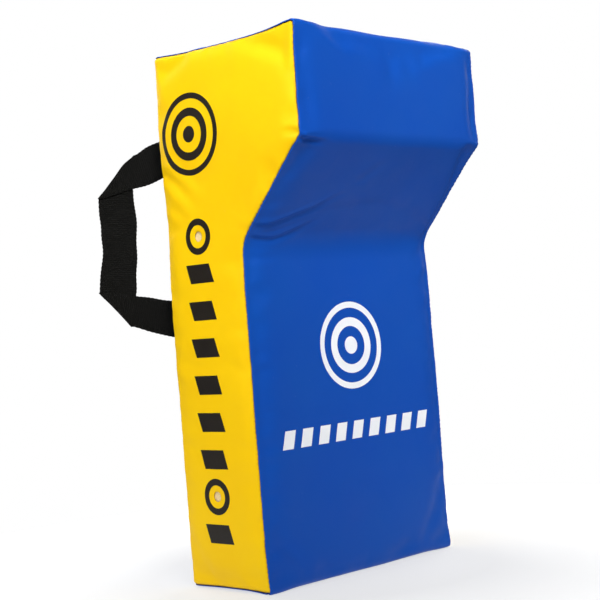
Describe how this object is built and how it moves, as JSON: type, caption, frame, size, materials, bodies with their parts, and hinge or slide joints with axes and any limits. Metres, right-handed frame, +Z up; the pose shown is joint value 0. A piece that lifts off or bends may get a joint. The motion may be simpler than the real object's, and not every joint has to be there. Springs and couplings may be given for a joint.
{
  "type": "rugby contact shield",
  "caption": "Upright foam contact shield with an overhanging head, sewn coated-fabric cover, swinging webbing handle loops and a zipped back.",
  "frame": {"origin": "middle of the flat base that the shield stands on", "axes": "+Z up; -Y the way the striking face and the overhanging head point; +Y towards the handles and the zip; +X to the right seen from the front"},
  "size_m": [0.4736, 0.3829, 0.75],
  "materials": {
    "vinyl_blue": "satin coated fabric",
    "vinyl_yellow": "satin coated fabric",
    "vinyl_patch": "satin coated fabric",
    "foam": "open-cell foam",
    "webbing": "ribbed polypropylene webbing",
    "thread": "bonded thread",
    "zip_tape": "woven tape",
    "zip_coil": "nylon coil",
    "zip_metal": "black enamel on zinc"
  },
  "bodies": {
    "shield": {"foam_slab": "foam", "foam_head_block": "foam", "front_panel": "vinyl_blue", "bottom_panel": "vinyl_blue", "back_panel_left": "vinyl_blue", "back_panel_right": "vinyl_blue", "side_panel_left": "vinyl_yellow", "side_panel_right": "vinyl_yellow", "handle_patch_left": "vinyl_patch", "handle_patch_right": "vinyl_patch", "handle_ends_left": "webbing", "handle_ends_right": "webbing", "handle_stitching_left": "thread", "handle_stitching_right": "thread", "zip_stitching": "thread", "zip_tape_left": "zip_tape", "zip_tape_right": "zip_tape", "zip_coil_left": "zip_coil", "zip_coil_right": "zip_coil", "zip_end_stops": "zip_metal"},
    "handle_left": {"handle_strap_left": "webbing"},
    "handle_right": {"handle_strap_right": "webbing"},
    "zip_slider": {"zip_slider": "zip_metal"},
    "zip_puller": {"zip_puller": "zip_metal"}
  },
  "joints": [
    {"name": "handle_left_swing", "type": "hinge", "parent": "shield", "child": "handle_left", "pos_m": [-0.14149, 0.08585, 0.49], "axis": [0, 0, -1], "range_deg": [-42, 132]},
    {"name": "handle_right_swing", "type": "hinge", "parent": "shield", "child": "handle_right", "pos_m": [0.14149, 0.08585, 0.49], "axis": [0, 0, 1], "range_deg": [-42, 132]},
    {"name": "zip_travel", "type": "slide", "parent": "shield", "child": "zip_slider", "axis": [0, 0, 1], "range_m": [0, 0.605]},
    {"name": "puller_swing", "type": "hinge", "parent": "zip_slider", "child": "zip_puller", "pos_m": [0, 0.0842, 0.0723], "axis": [1, 0, 0], "range_deg": [0, 165]}
  ]
}
